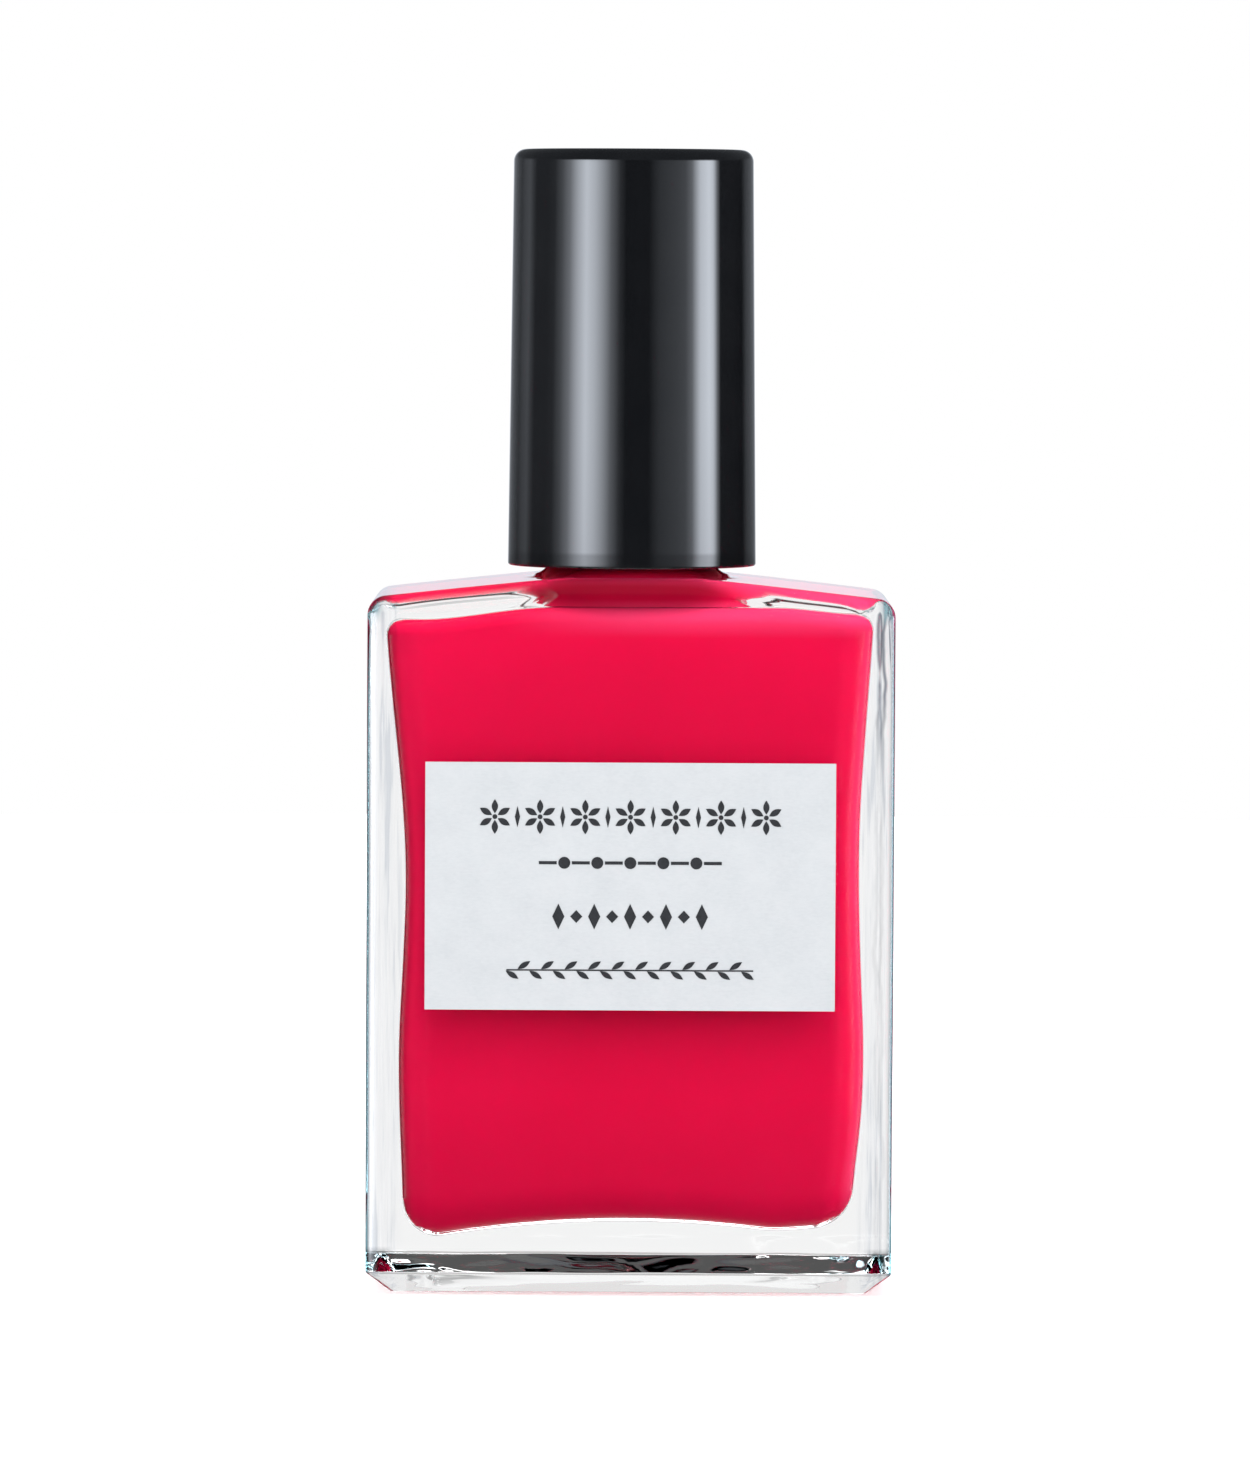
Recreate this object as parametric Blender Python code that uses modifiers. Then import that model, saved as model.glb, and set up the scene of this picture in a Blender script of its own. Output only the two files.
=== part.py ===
"""A nail polish bottle: a clear rectangular glass bottle of lacquer, closed by a tall screw cap with a brush.

Metres, +Z up. The origin is at the middle of the base, the label faces -Y, and the neck, cap and brush share the Z axis.
"""

import math

import bmesh
import bpy

# Driving dimensions, in metres
TOTAL_HEIGHT = 0.0800
BODY_WIDTH = 0.0368
BODY_DEPTH = 0.0200
BODY_RIM_Z = 0.0486  # the shoulder at the body's sides, before rounding
SHOULDER_Z = 0.0501  # the shoulder beside the neck
SHOULDER_FLAT = 0.0066  # half-width of the level part of the shoulder
BODY_CORNER = 0.0013
BODY_EDGE = 0.0016

BASE_THICKNESS = 0.0049
CAVITY_WIDTH = 0.0322
CAVITY_DEPTH = 0.0138
CAVITY_RIM_Z = 0.0462
CAVITY_TOP_Z = 0.0475
CAVITY_CORNER = 0.0032
CAVITY_EDGE = 0.0022
BASE_RECESS_DEPTH = 0.0005
BASE_RECESS_WIDTH = 0.0280
BASE_RECESS_LENGTH = 0.0110

NECK_RADIUS = 0.00575
NECK_FOOT_RADIUS = 0.0063
NECK_BORE_RADIUS = 0.0039
NECK_TOP_Z = 0.0630

THREAD_LEAD = 0.002117  # twelve turns to the inch
NECK_THREAD_RADIUS = 0.00070
NECK_THREAD_START_Z = 0.0580
NECK_THREAD_TURNS = 1.75
CAP_THREAD_RADIUS = 0.00055
CAP_THREAD_TURNS = 1.5

CAP_TOP_RADIUS = 0.00845
CAP_FOOT_RADIUS = 0.00875
CAP_FOOT_Z = 0.0507
CAP_BORE_RADIUS = 0.0076
CAP_ROOF = 0.0016
CAP_TOP_EDGE = 0.0007

SKIRT_RADIUS = 0.0073
SKIRT_BORE_RADIUS = 0.00665
SKIRT_FOOT_Z = 0.0513
WEB_Z = 0.0655
WEB_THICKNESS = 0.0012
SOCKET_RADIUS = 0.0040
SOCKET_TOP_Z = 0.0720
RIB_COUNT = 6
RIB_THICKNESS = 0.0010
RIB_TOP_Z = 0.0765

STEM_RADIUS = 0.0019
STEM_TIP_RADIUS = 0.0018
STEM_HEAD_RADIUS = 0.0024
STEM_FLANGE_RADIUS = 0.0056
STEM_FLANGE_THICKNESS = 0.0010
STEM_FOOT_Z = 0.0250
STEM_HOLE_RADIUS = 0.0013
STEM_HOLE_TOP_Z = 0.0292
ANCHOR_LENGTH = 0.0019
ANCHOR_THICKNESS = 0.0004
ANCHOR_HEIGHT = 0.0010

LINER_THICKNESS = 0.0006
LINER_RADIUS = 0.0059
LINER_BORE_RADIUS = 0.0023

TUFT_TIP_Z = 0.0085
TUFT_ROOT_RADIUS = 0.0010
TUFT_HALF_WIDTH = 0.0024
TUFT_HALF_DEPTH = 0.0011

BALL_RADIUS = 0.0024
BALL_OFFSET = 0.0090

LABEL_WIDTH = 0.0286
LABEL_HEIGHT = 0.0173
LABEL_MIDDLE_Z = 0.02865
LABEL_THICKNESS = 0.0002

GAP = 0.0003  # kept between neighbouring pieces
MERGE = 0.00001
TURN_STEPS = 48

GLASS = ("clear_glass", (0.93, 0.96, 0.96), 0.02, 0.0)
LACQUER = ("crimson_lacquer", (0.80, 0.010, 0.055), 0.12, 0.0)
CAP_BLACK = ("gloss_black_plastic", (0.012, 0.013, 0.016), 0.12, 0.0)
CLOSURE = ("natural_polypropylene", (0.78, 0.78, 0.76), 0.45, 0.0)
LINER = ("liner_foam", (0.86, 0.86, 0.84), 0.65, 0.0)
STEM = ("stem_polyethylene", (0.05, 0.05, 0.055), 0.35, 0.0)
BRISTLE = ("nylon_bristle", (0.10, 0.06, 0.06), 0.50, 0.0)
STEEL = ("polished_steel", (0.62, 0.63, 0.65), 0.15, 1.0)
PAPER = ("label_paper", (0.80, 0.83, 0.87), 0.70, 0.0)

for old in list(bpy.data.objects):
    bpy.data.objects.remove(old, do_unlink=True)

bottle_parts = bpy.data.collections.new("nail_polish_bottle")
cutters = bpy.data.collections.new("cutters")
for collection in (bottle_parts, cutters):
    bpy.context.scene.collection.children.link(collection)


# Helpers

def material(finish):
    name, colour, roughness, metallic = finish
    made = bpy.data.materials.get(name)
    if made is None:
        made = bpy.data.materials.new(name)
        made.use_nodes = True
        shader = made.node_tree.nodes["Principled BSDF"]
        shader.inputs["Base Color"].default_value = (*colour, 1.0)
        shader.inputs["Roughness"].default_value = roughness
        shader.inputs["Metallic"].default_value = metallic
    return made


def add_piece(name, mesh, finish, parent=None):
    """A finished piece, in the bottle's own collection and with its own material."""
    piece = bpy.data.objects.new(name, mesh)
    bottle_parts.objects.link(piece)
    mesh.materials.clear()
    mesh.materials.append(material(finish))
    if parent is not None:
        piece.parent = parent
    return piece


def add_cutter(name, mesh):
    """A solid that only shapes other pieces."""
    cutter = bpy.data.objects.new(name, mesh)
    cutters.objects.link(cutter)
    cutter.hide_render = True
    cutter.display_type = "WIRE"
    return cutter


def add_pivot(name, z=0.0):
    """An empty on the Z axis that carries a moving group."""
    pivot = bpy.data.objects.new(name, None)
    bottle_parts.objects.link(pivot)
    pivot.location = (0.0, 0.0, z)
    return pivot


def combine(piece, cutter, operation):
    step = piece.modifiers.new(cutter.name, "BOOLEAN")
    step.object = cutter
    step.operation = operation


def mesh_of(bm, name):
    mesh = bpy.data.meshes.new(name)
    bm.to_mesh(mesh)
    bm.free()
    return mesh


def shade_round(mesh, angle=math.radians(35)):
    mesh.shade_smooth()
    mesh.set_sharp_from_angle(angle=angle)


def turned(name, profile, steps=TURN_STEPS):
    """A closed solid of revolution about Z, from (radius, height) points that run down its outer side."""
    bm = bmesh.new()
    corners = [bm.verts.new((radius, 0.0, height)) for radius, height in profile]
    for start, end in zip(corners, corners[1:]):
        bm.edges.new((start, end))
    if profile[0][0] > 0.0:
        bm.edges.new((corners[-1], corners[0]))
    guide = add_cutter(name + "_profile", mesh_of(bm, name + "_profile"))
    spin = guide.modifiers.new("Spin", "SCREW")
    spin.steps = steps
    spin.render_steps = steps
    spin.use_merge_vertices = True
    spin.merge_threshold = MERGE
    spin.use_normal_calculate = True
    made = evaluated_mesh(guide, name)
    bpy.data.objects.remove(guide, do_unlink=True)
    shade_round(made)
    return made


def evaluated_mesh(source, name):
    """The closed mesh that an object's modifiers or curve settings make, with its loose caps welded."""
    shown = source.evaluated_get(bpy.context.evaluated_depsgraph_get())
    raw = bpy.data.meshes.new_from_object(shown)
    bm = bmesh.new()
    bm.from_mesh(raw)
    bpy.data.meshes.remove(raw)
    bmesh.ops.remove_doubles(bm, verts=bm.verts, dist=MERGE)
    bmesh.ops.recalc_face_normals(bm, faces=bm.faces)
    return mesh_of(bm, name)


def block(name, low, high):
    """A plain box between two corners."""
    bm = bmesh.new()
    bmesh.ops.create_cube(bm, size=1.0)
    size = [b - a for a, b in zip(low, high)]
    middle = [(a + b) / 2 for a, b in zip(low, high)]
    bmesh.ops.scale(bm, verts=bm.verts, vec=size)
    bmesh.ops.translate(bm, verts=bm.verts, vec=middle)
    return mesh_of(bm, name)


def roofed_block(name, width, depth, foot, rim, crest, level, corner, edge, foot_edge):
    """A rounded block whose top rises from its two sides to a level middle, as a bottle's shoulder does."""
    bm = bmesh.new()
    bmesh.ops.create_cube(bm, size=1.0)
    bmesh.ops.scale(bm, verts=bm.verts, vec=(width, depth, rim - foot))
    bmesh.ops.translate(bm, verts=bm.verts, vec=(0.0, 0.0, (rim + foot) / 2))
    for x in (-level, level):
        everything = bm.verts[:] + bm.edges[:] + bm.faces[:]
        bmesh.ops.bisect_plane(bm, geom=everything, plane_co=(x, 0, 0), plane_no=(1, 0, 0))
    raised = [v for v in bm.verts if v.co.z > rim - MERGE and abs(v.co.x) < width / 2 - MERGE]
    bmesh.ops.translate(bm, verts=raised, vec=(0.0, 0.0, crest - rim))
    round_edges(bm, [e for e in bm.edges if is_upright(e) and is_corner(e)], corner, 5)
    round_edges(bm, [e for e in bm.edges if is_rim(e, 1)], edge, 3)
    round_edges(bm, [e for e in bm.edges if is_rim(e, -1)], foot_edge, 2)
    mesh = mesh_of(bm, name)
    shade_round(mesh)
    return mesh


def is_upright(edge):
    along = edge.verts[1].co - edge.verts[0].co
    return abs(along.z) > 0.9 * along.length


def is_corner(edge):
    return len(edge.link_faces) == 2 and edge.calc_face_angle() > math.radians(60)


def is_rim(edge, side):
    """Is this an edge between an upright wall and the face above it (side 1) or below it (side -1)?"""
    slopes = sorted(side * face.normal.z for face in edge.link_faces)
    return len(slopes) == 2 and abs(slopes[0]) < 0.1 and slopes[1] > 0.9


def round_edges(bm, edges, radius, segments):
    bmesh.ops.bevel(
        bm, geom=edges, offset=radius, segments=segments, profile=0.5, affect="EDGES", clamp_overlap=True
    )
    bm.normal_update()


def ball(name, radius, segments=24):
    bm = bmesh.new()
    bmesh.ops.create_uvsphere(bm, u_segments=segments, v_segments=segments // 2, radius=radius)
    mesh = mesh_of(bm, name)
    mesh.shade_smooth()
    return mesh


def thread(name, radius, wire, start_z, turns, start_angle, steps_per_turn=24):
    """A right-hand thread: a round wire on a helix, which thins out at its two ends."""
    curve = bpy.data.curves.new(name, "CURVE")
    curve.dimensions = "3D"
    curve.bevel_depth = wire
    curve.bevel_resolution = 1
    curve.use_fill_caps = True
    path = curve.splines.new("POLY")
    count = round(turns * steps_per_turn) + 1
    path.points.add(count - 1)
    fade = steps_per_turn / 6
    for i, point in enumerate(path.points):
        angle = start_angle + 2 * math.pi * i / steps_per_turn
        point.co = (
            radius * math.cos(angle),
            radius * math.sin(angle),
            start_z + THREAD_LEAD * i / steps_per_turn,
            1.0,
        )
        point.radius = min(1.0, 0.35 + 0.65 * min(i, count - 1 - i) / fade)
    guide = add_cutter(name + "_path", curve)
    made = evaluated_mesh(guide, name)
    bpy.data.objects.remove(guide, do_unlink=True)
    return add_cutter(name, made)


def arc(middle, radius, start, end, steps):
    """Points round an arc in a (radius, height) profile, with its angles in degrees."""
    points = []
    for i in range(steps + 1):
        angle = math.radians(start + (end - start) * i / steps)
        points.append((middle[0] + radius * math.cos(angle), middle[1] + radius * math.sin(angle)))
    return points


# Pivots of the moving groups

cap_pivot = add_pivot("cap_axis", NECK_TOP_Z)
cap_pivot_offset = -NECK_TOP_Z


def hang_on_cap(piece):
    """Carries a piece on the cap's axis without moving it."""
    piece.parent = cap_pivot
    piece.location.z = cap_pivot_offset
    return piece


# Glass bottle: body, neck with its thread, cavity, bore and the recess that leaves a resting ring

def make_bottle():
    bottle = add_piece(
        "glass_bottle",
        roofed_block(
            "glass_bottle", BODY_WIDTH, BODY_DEPTH, 0.0, BODY_RIM_Z, SHOULDER_Z,
            SHOULDER_FLAT, BODY_CORNER, BODY_EDGE, BODY_EDGE,
        ),
        GLASS,
    )
    neck_root_z = SHOULDER_Z - 0.001
    neck_profile = [
        (0.0, NECK_TOP_Z),
        (NECK_RADIUS - 0.0004, NECK_TOP_Z),
        (NECK_RADIUS, NECK_TOP_Z - 0.0004),
        (NECK_RADIUS, SHOULDER_Z + 0.0010),
        (NECK_FOOT_RADIUS, SHOULDER_Z + 0.0002),
        (NECK_FOOT_RADIUS, neck_root_z),
        (0.0, neck_root_z),
    ]
    neck = add_cutter("neck_blank", turned("neck_blank", neck_profile))
    neck_thread = thread(
        "neck_thread", NECK_RADIUS, NECK_THREAD_RADIUS, NECK_THREAD_START_Z, NECK_THREAD_TURNS, 0.0
    )
    cavity = add_cutter(
        "cavity",
        roofed_block(
            "cavity", CAVITY_WIDTH, CAVITY_DEPTH, BASE_THICKNESS, CAVITY_RIM_Z, CAVITY_TOP_Z,
            NECK_BORE_RADIUS, CAVITY_CORNER, CAVITY_EDGE, CAVITY_EDGE,
        ),
    )
    bore_profile = [
        (0.0, NECK_TOP_Z + 0.001),
        (NECK_BORE_RADIUS, NECK_TOP_Z + 0.001),
        (NECK_BORE_RADIUS, CAVITY_TOP_Z - 0.002),
        (0.0, CAVITY_TOP_Z - 0.002),
    ]
    bore = add_cutter("neck_bore", turned("neck_bore", bore_profile))
    recess = add_cutter(
        "base_recess",
        block(
            "base_recess",
            (-BASE_RECESS_WIDTH / 2, -BASE_RECESS_LENGTH / 2, -0.001),
            (BASE_RECESS_WIDTH / 2, BASE_RECESS_LENGTH / 2, BASE_RECESS_DEPTH),
        ),
    )
    combine(bottle, neck, "UNION")
    combine(bottle, neck_thread, "UNION")
    combine(bottle, cavity, "DIFFERENCE")
    combine(bottle, bore, "DIFFERENCE")
    combine(bottle, recess, "DIFFERENCE")


# Lacquer: it fills the cavity, round the brush and over the mixing balls

def make_lacquer():
    lacquer = add_piece(
        "nail_lacquer",
        roofed_block(
            "nail_lacquer", CAVITY_WIDTH - 2 * GAP, CAVITY_DEPTH - 2 * GAP, BASE_THICKNESS + GAP,
            CAVITY_RIM_Z - GAP, CAVITY_TOP_Z - GAP, NECK_BORE_RADIUS, CAVITY_CORNER - GAP,
            CAVITY_EDGE - GAP, CAVITY_EDGE - GAP,
        ),
        LACQUER,
    )
    bore_radius = TUFT_HALF_WIDTH + 2 * GAP
    brush_space = [
        (0.0, CAVITY_TOP_Z + 0.001),
        (bore_radius, CAVITY_TOP_Z + 0.001),
        (bore_radius, TUFT_TIP_Z - GAP),
        (0.0, TUFT_TIP_Z - GAP),
    ]
    combine(lacquer, add_cutter("brush_space", turned("brush_space", brush_space, 24)), "DIFFERENCE")
    space_radius = BALL_RADIUS + GAP
    top = arc((0.0, ball_z()), space_radius, 90, 0, 6)
    foot_z = BASE_THICKNESS - GAP
    for number, x in ball_places():
        name = f"ball_space_{number}"
        outline = [(0.0, top[0][1])] + top[1:] + [(space_radius, foot_z), (0.0, foot_z)]
        space = add_cutter(name, turned(name, outline, 24))
        space.location.x = x
        combine(lacquer, space, "DIFFERENCE")


# Mixing balls: loose in the lacquer, on the cavity's floor

def ball_z():
    return BASE_THICKNESS + GAP + BALL_RADIUS


def ball_places():
    return ((1, -BALL_OFFSET), (2, BALL_OFFSET))


def make_balls():
    for number, x in ball_places():
        name = f"mixing_ball_{number}"
        piece = add_piece(name, ball(name, BALL_RADIUS), STEEL)
        piece.location = (x, 0.0, ball_z())


# Cap: a glossy outer shell over a threaded inner closure

def make_outer_cap():
    lip = 0.00015
    corner = (CAP_TOP_RADIUS - CAP_TOP_EDGE, TOTAL_HEIGHT - CAP_TOP_EDGE)
    profile = [
        (0.0, TOTAL_HEIGHT),
        *arc(corner, CAP_TOP_EDGE, 90, 0, 4),
        (CAP_FOOT_RADIUS, CAP_FOOT_Z + lip),
        (CAP_FOOT_RADIUS - lip, CAP_FOOT_Z),
        (CAP_BORE_RADIUS + lip, CAP_FOOT_Z),
        (CAP_BORE_RADIUS, CAP_FOOT_Z + lip),
        (CAP_BORE_RADIUS, TOTAL_HEIGHT - CAP_ROOF),
        (0.0, TOTAL_HEIGHT - CAP_ROOF),
    ]
    hang_on_cap(add_piece("outer_cap", turned("outer_cap", profile), CAP_BLACK))


def make_inner_cap():
    socket_bore = STEM_HEAD_RADIUS + GAP
    profile = [
        (0.0, SOCKET_TOP_Z),
        (SOCKET_RADIUS, SOCKET_TOP_Z),
        (SOCKET_RADIUS, WEB_Z + WEB_THICKNESS),
        (SKIRT_RADIUS, WEB_Z + WEB_THICKNESS),
        (SKIRT_RADIUS, SKIRT_FOOT_Z),
        (SKIRT_BORE_RADIUS, SKIRT_FOOT_Z),
        (SKIRT_BORE_RADIUS, WEB_Z),
        (socket_bore, WEB_Z),
        (socket_bore, SOCKET_TOP_Z - 0.0012),
        (0.0, SOCKET_TOP_Z - 0.0012),
    ]
    closure = hang_on_cap(add_piece("inner_cap", turned("inner_cap", profile), CLOSURE))
    for number in range(RIB_COUNT):
        name = f"rib_{number + 1}"
        rib = add_cutter(
            name,
            block(
                name,
                (SOCKET_RADIUS - 0.0006, -RIB_THICKNESS / 2, WEB_Z + WEB_THICKNESS / 2),
                (SKIRT_RADIUS - 0.0002, RIB_THICKNESS / 2, RIB_TOP_Z),
            ),
        )
        rib.rotation_euler.z = 2 * math.pi * (number + 0.5) / RIB_COUNT
        combine(closure, rib, "UNION")
    # the cap's thread lies half a lead below the neck's, so that the two mesh with equal room above and below
    cap_thread = thread(
        "cap_thread", SKIRT_BORE_RADIUS, CAP_THREAD_RADIUS,
        NECK_THREAD_START_Z - THREAD_LEAD / 2, CAP_THREAD_TURNS, 0.0,
    )
    combine(closure, cap_thread, "UNION")


def make_liner():
    low = NECK_TOP_Z + GAP
    profile = [
        (LINER_RADIUS, low + LINER_THICKNESS),
        (LINER_RADIUS, low),
        (LINER_BORE_RADIUS, low),
        (LINER_BORE_RADIUS, low + LINER_THICKNESS),
    ]
    hang_on_cap(add_piece("cap_liner", turned("cap_liner", profile), LINER))


# Brush: stem with its sealing flange, the anchor that holds the bristles, and the flat tuft

def make_stem():
    flange_top = WEB_Z - GAP
    flange_foot = flange_top - STEM_FLANGE_THICKNESS
    head_top = SOCKET_TOP_Z - 0.0012 - GAP
    profile = [
        (0.0, head_top),
        (STEM_HEAD_RADIUS, head_top),
        (STEM_HEAD_RADIUS, flange_top),
        (STEM_FLANGE_RADIUS, flange_top),
        (STEM_FLANGE_RADIUS, flange_foot),
        (STEM_RADIUS, flange_foot),
        (STEM_TIP_RADIUS, STEM_FOOT_Z),
        (STEM_HOLE_RADIUS, STEM_FOOT_Z),
        (STEM_HOLE_RADIUS, STEM_HOLE_TOP_Z),
        (0.0, STEM_HOLE_TOP_Z),
    ]
    hang_on_cap(add_piece("brush_stem", turned("brush_stem", profile, 32), STEM))


def make_anchor():
    high = STEM_HOLE_TOP_Z - GAP
    size = (ANCHOR_LENGTH / 2, ANCHOR_THICKNESS / 2)
    mesh = block("brush_anchor", (-size[0], -size[1], high - ANCHOR_HEIGHT), (size[0], size[1], high))
    hang_on_cap(add_piece("brush_anchor", mesh, STEEL))


def tuft_half_sizes(z):
    """The flat tuft's half-width and half-depth: round in the stem, widest two thirds of the way down."""
    free = min(1.0, max(0.0, (STEM_FOOT_Z - z) / (STEM_FOOT_Z - TUFT_TIP_Z)))
    spread = math.sin(min(1.0, free / 0.65) * math.pi / 2)
    width = TUFT_ROOT_RADIUS + (TUFT_HALF_WIDTH - TUFT_ROOT_RADIUS) * spread
    depth = TUFT_ROOT_RADIUS + (TUFT_HALF_DEPTH - TUFT_ROOT_RADIUS) * spread
    rounding = math.sqrt(max(0.0, 1.0 - max(0.0, (free - 0.85) / 0.15) ** 2))
    return max(width * (0.35 + 0.65 * rounding), 0.0001), max(depth * (0.25 + 0.75 * rounding), 0.0001)


def make_tuft():
    rings = 14
    high = STEM_HOLE_TOP_Z - GAP - ANCHOR_HEIGHT - GAP
    heights = [high + (TUFT_TIP_Z - high) * i / rings for i in range(rings + 1)]
    profile = [(0.0, high)] + [(1.0, z) for z in heights] + [(0.0, TUFT_TIP_Z)]
    mesh = turned("brush_tuft", profile, 24)
    for vert in mesh.vertices:
        half_width, half_depth = tuft_half_sizes(vert.co.z)
        vert.co.x *= half_width
        vert.co.y *= half_depth
    hang_on_cap(add_piece("brush_tuft", mesh, BRISTLE))


# Label: a paper rectangle on the front wall

def make_label():
    front = -BODY_DEPTH / 2 - GAP
    mesh = block(
        "front_label",
        (-LABEL_WIDTH / 2, front - LABEL_THICKNESS, LABEL_MIDDLE_Z - LABEL_HEIGHT / 2),
        (LABEL_WIDTH / 2, front, LABEL_MIDDLE_Z + LABEL_HEIGHT / 2),
    )
    add_piece("front_label", mesh, PAPER)


make_bottle()
make_lacquer()
make_balls()
make_outer_cap()
make_inner_cap()
make_liner()
make_stem()
make_anchor()
make_tuft()
make_label()
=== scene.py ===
"""Looks for the nail polish bottle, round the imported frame: meshes, materials, studio light and camera."""

import math
import random

import bmesh
import bpy
import numpy as np
from mathutils import Matrix, Vector, noise


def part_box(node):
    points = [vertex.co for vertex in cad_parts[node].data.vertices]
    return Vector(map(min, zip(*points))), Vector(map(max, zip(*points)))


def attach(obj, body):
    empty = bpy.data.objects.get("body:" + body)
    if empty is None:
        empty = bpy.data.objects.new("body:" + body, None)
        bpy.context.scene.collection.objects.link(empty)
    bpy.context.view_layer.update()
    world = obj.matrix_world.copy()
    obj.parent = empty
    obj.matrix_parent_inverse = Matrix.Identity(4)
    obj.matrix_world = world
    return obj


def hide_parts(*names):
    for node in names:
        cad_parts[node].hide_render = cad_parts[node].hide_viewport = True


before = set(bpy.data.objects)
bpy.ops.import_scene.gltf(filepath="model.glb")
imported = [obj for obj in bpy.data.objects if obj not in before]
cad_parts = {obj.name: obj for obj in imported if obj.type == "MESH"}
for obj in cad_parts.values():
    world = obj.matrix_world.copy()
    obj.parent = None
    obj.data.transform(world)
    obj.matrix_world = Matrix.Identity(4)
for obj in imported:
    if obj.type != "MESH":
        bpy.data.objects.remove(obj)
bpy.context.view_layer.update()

MM = 0.001

# Sizes in millimetres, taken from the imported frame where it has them


def box_mm(node):
    low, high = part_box(node)
    return np.array(low) / MM, np.array(high) / MM


_, body_high = box_mm("glass_bottle")
cap_low, cap_high = box_mm("outer_cap")
closure_low, _ = box_mm("inner_cap")
stem_low, stem_high = box_mm("brush_stem")
tuft_low, tuft_high = box_mm("brush_tuft")
liner_low, liner_high = box_mm("cap_liner")
label_low, label_high = box_mm("front_label")

BODY_A = body_high[0]
BODY_B = body_high[1]
NECK_TOP = body_high[2]
SHOULDER_TOP = 50.1
OUTER_CORNER = 1.10  # the body's upright edges, along X
CORNER_SQUASH = 0.42  # and along Y, as a share of that
SHOULDER_EDGE = 1.15
HEEL = 1.65  # height of the chamfer round the foot
HEEL_SLOPE = 50.0  # its angle from upright, in degrees
HEEL_TOP_R = 0.35
HEEL_FOOT_R = 0.30
NECK_R = 5.75
NECK_FILLET = 1.25
BORE_R = 3.9
THREAD_LEAD = 2.117
THREAD_START = 58.0
NECK_THREAD_FOOT = 57.0
NECK_THREAD_TOP = 62.5
NECK_TURNS = 1.75
CLOSURE_TURNS = 1.5
CAVITY_A = 16.1  # half-width before the belly and the waist
CAVITY_B = 6.9
CAVITY_CORNER = 2.3
CAVITY_TOP = 48.0
CAVITY_TOP_EDGE = 1.1
CAVITY_FILLET = 2.9
FUNNEL_R = 10.1  # where the throat's funnel meets the cavity's roof
FUNNEL_LEAN = 2.2  # how much sooner it does so on the left
CAVITY_FLOOR = 4.8
CAVITY_FLOOR_EDGE = 2.6
DISH_A = 14.0  # the recess in the underside
DISH_B = 5.5
DISH_DEPTH = 0.5
LACQUER_LEVEL = 53.0
# the cavity's half-widths up the body: a belly, a waist and a flare
WAIST_HEIGHTS = (4.0, 8.0, 12.0, 17.0, 24.0, 29.0, 34.0, 38.0, 42.0, 46.0, 48.0)
WAIST_LEFT = (15.9, 16.0, 16.15, 16.2, 15.85, 15.72, 15.98, 16.38, 16.80, 17.15, 17.2)
WAIST_RIGHT = (15.6, 15.8, 16.35, 16.5, 16.15, 15.98, 16.02, 16.30, 16.58, 16.90, 17.0)

QUARTER_SIDE = 14
QUARTER_CORNER = 12
QUARTER_FRONT = 30
QUARTER = QUARTER_SIDE + QUARTER_CORNER + QUARTER_FRONT


# Mesh helpers

def smoothstep(low, high, value):
    t = np.clip((value - low) / (high - low), 0.0, 1.0)
    return t * t * (3.0 - 2.0 * t)


def whole_ring(quarter):
    """A closed ring of points, from the quarter that runs from +X to +Y."""
    flip_x = quarter * (-1, 1)
    flip_y = quarter * (1, -1)
    return np.vstack((quarter[:-1], flip_x[::-1][:-1], -quarter[:-1], flip_y[::-1][:-1]))


def box_ring(a, b, corner, z, squash=1.0):
    """A rounded rectangle of half-width a and half-depth b; its corners are squash times as deep as wide."""
    corner = max(min(corner, a, b), 0.01)
    deep = corner * squash
    side = [(a, (b - deep) * i / QUARTER_SIDE) for i in range(QUARTER_SIDE)]
    turn = []
    for i in range(QUARTER_CORNER):
        angle = math.pi / 2 * i / QUARTER_CORNER
        turn.append((a - corner + corner * math.cos(angle), b - deep + deep * math.sin(angle)))
    front = [((a - corner) * (1 - i / QUARTER_FRONT), b) for i in range(QUARTER_FRONT + 1)]
    flat = whole_ring(np.array(side + turn + front))
    return np.column_stack((flat, np.full(len(flat), float(z))))


def round_ring(radius, z):
    angles = np.linspace(0.0, math.pi / 2, QUARTER + 1)
    flat = whole_ring(np.column_stack((radius * np.cos(angles), radius * np.sin(angles))))
    return np.column_stack((flat, np.full(len(flat), float(z))))


def turn_outwards(mesh):
    bm = bmesh.new()
    bm.from_mesh(mesh)
    bmesh.ops.recalc_face_normals(bm, faces=bm.faces)
    bm.to_mesh(mesh)
    bm.free()


def mesh_of(bm, name, material):
    mesh = bpy.data.meshes.new(name)
    bm.to_mesh(mesh)
    bm.free()
    mesh.materials.append(material)
    return mesh


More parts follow.
